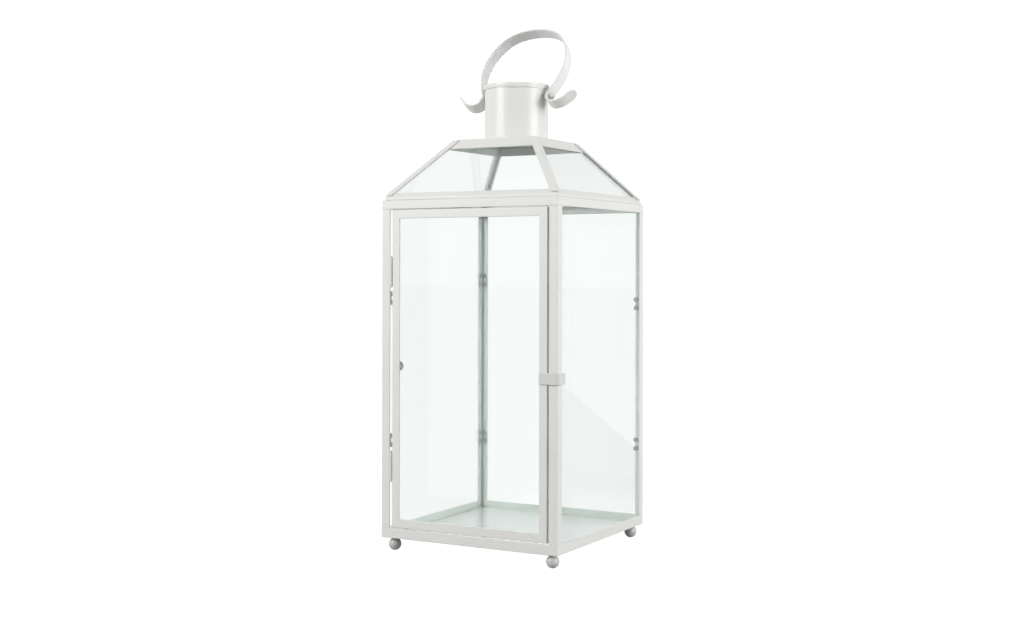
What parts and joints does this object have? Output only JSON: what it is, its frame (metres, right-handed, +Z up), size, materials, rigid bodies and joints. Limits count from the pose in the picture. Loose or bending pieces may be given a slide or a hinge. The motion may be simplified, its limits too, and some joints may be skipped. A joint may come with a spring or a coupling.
{
  "type": "candle lantern",
  "caption": "Square glazed candle lantern with a hinged glass door, hipped glass roof, round capped chimney, ball feet and a tilting bent-strap handle.",
  "frame": {"origin": "on the ground, under the middle of the square box", "axes": "+Z up, -Y out of the door, +X to the right of the door seen from in front; the door's hinges are on -X"},
  "size_m": [0.2123, 0.2123, 0.5688],
  "materials": {
    "painted_steel": "satin off-white enamel over folded steel sheet",
    "glass": "clear float glass with a faint green tint",
    "silicone": "clear glazing silicone, slightly cloudy"
  },
  "bodies": {
    "lantern": {"floor_plate": "painted_steel", "base_rail_front": "painted_steel", "top_rail_front": "painted_steel", "post_front_right": "painted_steel", "ball_foot_front_right": "painted_steel", "pane_bead_front_right_upper": "silicone", "pane_bead_front_right_lower": "silicone", "roof_eave_front": "painted_steel", "roof_hip_front_right": "painted_steel", "roof_pane_front": "glass", "base_rail_right": "painted_steel", "top_rail_right": "painted_steel", "post_back_right": "painted_steel", "ball_foot_back_right": "painted_steel", "pane_bead_back_right_upper": "silicone", "pane_bead_back_right_lower": "silicone", "roof_eave_right": "painted_steel", "roof_hip_back_right": "painted_steel", "roof_pane_right": "glass", "base_rail_back": "painted_steel", "top_rail_back": "painted_steel", "post_back_left": "painted_steel", "ball_foot_back_left": "painted_steel", "pane_bead_back_left_upper": "silicone", "pane_bead_back_left_lower": "silicone", "roof_eave_back": "painted_steel", "roof_hip_back_left": "painted_steel", "roof_pane_back": "glass", "base_rail_left": "painted_steel", "top_rail_left": "painted_steel", "post_front_left": "painted_steel", "ball_foot_front_left": "painted_steel", "pane_bead_front_left_upper": "silicone", "pane_bead_front_left_lower": "silicone", "roof_eave_left": "painted_steel", "roof_hip_front_left": "painted_steel", "roof_pane_left": "glass", "pane_right": "glass", "pane_back": "glass", "pane_left": "glass", "hinge_post_leaf_upper": "painted_steel", "hinge_pin_upper": "painted_steel", "hinge_post_leaf_lower": "painted_steel", "hinge_pin_lower": "painted_steel", "roof_crown": "painted_steel", "chimney_tube": "painted_steel", "chimney_cap": "painted_steel", "handle_rivet_right": "painted_steel", "handle_rivet_left": "painted_steel"},
    "door": {"door_rail_top": "painted_steel", "door_rail_bottom": "painted_steel", "door_stile_hinge": "painted_steel", "door_stile_latch": "painted_steel", "door_glass": "glass", "door_bead_hinge": "silicone", "door_bead_latch": "silicone", "latch_strip": "painted_steel", "hinge_door_leaf_upper": "painted_steel", "hinge_door_leaf_lower": "painted_steel"},
    "handle": {"handle_strap": "painted_steel"}
  },
  "joints": [
    {"name": "door_hinge", "type": "hinge", "parent": "lantern", "child": "door", "pos_m": [-0.0935, -0.105, 0.1932], "axis": [0, 0, -1], "range_deg": [0, 160]},
    {"name": "handle_pivot", "type": "hinge", "parent": "lantern", "child": "handle", "pos_m": [0, 0, 0.4862], "axis": [-1, 0, 0], "range_deg": [-155, 90]}
  ]
}
